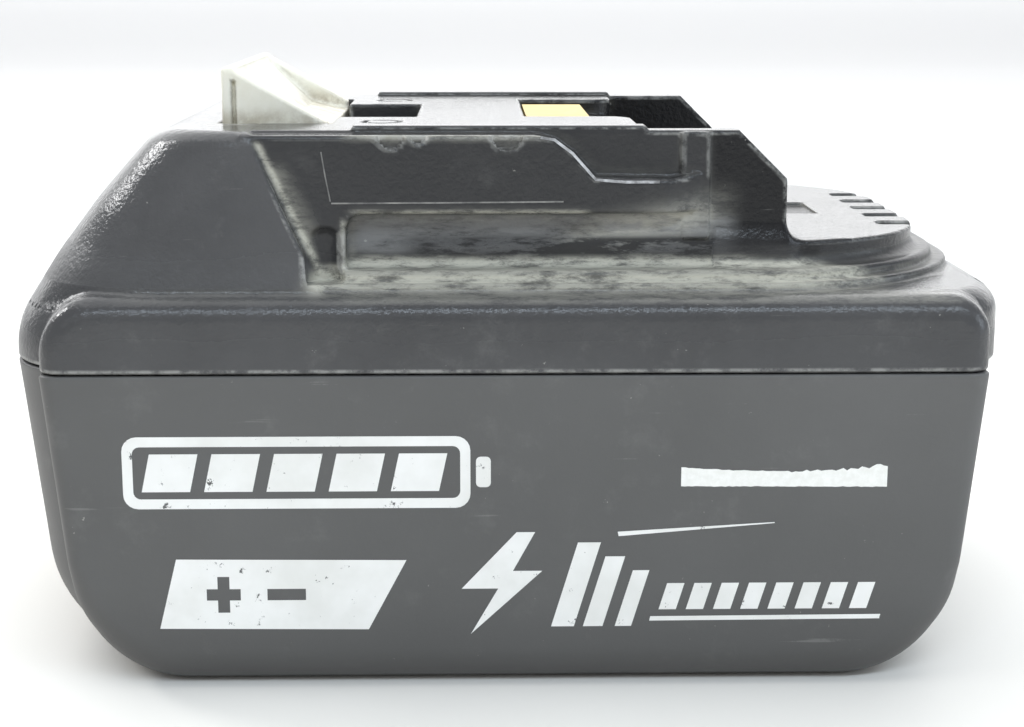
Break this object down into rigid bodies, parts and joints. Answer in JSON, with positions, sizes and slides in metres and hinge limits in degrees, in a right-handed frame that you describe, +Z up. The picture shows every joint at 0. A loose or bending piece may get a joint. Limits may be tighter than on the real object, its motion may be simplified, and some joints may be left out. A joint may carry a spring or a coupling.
{
  "type": "slide-on cordless tool battery pack",
  "caption": "Boxy slide-on battery pack with side rails, a sprung latch, a charge gauge and cylindrical cells inside.",
  "frame": {"origin": "centre of the resting surface, in the middle of the overall box", "axes": "+X towards the gauge end, which enters the tool first; -X is the latch end; -Y is the side seen in the picture; +Z up"},
  "size_m": [0.115, 0.075, 0.0669],
  "materials": {
    "case_plastic": "satin charcoal, scuffed, dusty in the grooves",
    "latch_plastic": "satin cream, yellowed and scuffed",
    "button_plastic": "satin",
    "lens_plastic": "translucent",
    "terminal_plastic": "satin yellow",
    "holder_plastic": "matte",
    "cell_sleeve": "shrink sleeve",
    "insulating_paper": "matte",
    "foam": "matte",
    "nickel": "bright",
    "steel": "bright",
    "contact_copper": "bright",
    "board_laminate": "solder mask",
    "chip_plastic": "matte",
    "lamp_plastic": "clear",
    "wire_sleeve": "satin"
  },
  "bodies": {
    "pack": {"lower_case": "case_plastic", "upper_case": "case_plastic", "latch_springs": "steel", "spring_plate": "steel", "gauge_lens": "lens_plastic", "gauge_board": "board_laminate", "gauge_lamps": "lamp_plastic", "gauge_switch": "chip_plastic", "gauge_leads": "nickel", "terminal_block": "terminal_plastic", "positive_terminal": "contact_copper", "negative_terminal": "contact_copper", "signal_contacts": "contact_copper", "circuit_board": "board_laminate", "power_switches": "chip_plastic", "control_chips": "chip_plastic", "shunt": "contact_copper", "capacitors": "chip_plastic", "board_screws": "steel", "cell_holder_near": "holder_plastic", "cell_holder_far": "holder_plastic", "cell_insulators": "insulating_paper", "cell_strips_near": "nickel", "cell_strips_far": "nickel", "lead_positive": "nickel", "lead_negative": "nickel", "balance_wires": "wire_sleeve", "thermistor": "chip_plastic", "side_pad_near": "foam", "side_pad_far": "foam", "bottom_pad": "foam", "case_screws": "steel", "cell_01": "cell_sleeve", "cell_02": "cell_sleeve", "cell_03": "cell_sleeve", "cell_04": "cell_sleeve", "cell_05": "cell_sleeve", "cell_06": "cell_sleeve", "cell_07": "cell_sleeve", "cell_08": "cell_sleeve", "cell_09": "cell_sleeve", "cell_10": "cell_sleeve"},
    "latch": {"latch": "latch_plastic"},
    "gauge_button": {"gauge_button": "button_plastic"}
  },
  "joints": [
    {"name": "latch_press", "type": "slide", "parent": "pack", "child": "latch", "axis": [0, 0, -1], "range_m": [0, 0.0063], "stiffness_N_per_m": 900, "springref_m": -0.004, "deforming": ["latch_springs"]},
    {"name": "gauge_button_press", "type": "slide", "parent": "pack", "child": "gauge_button", "axis": [-1, 0, 0], "range_m": [0, 0.0007], "stiffness_N_per_m": 1200, "springref_m": -0.0005}
  ]
}
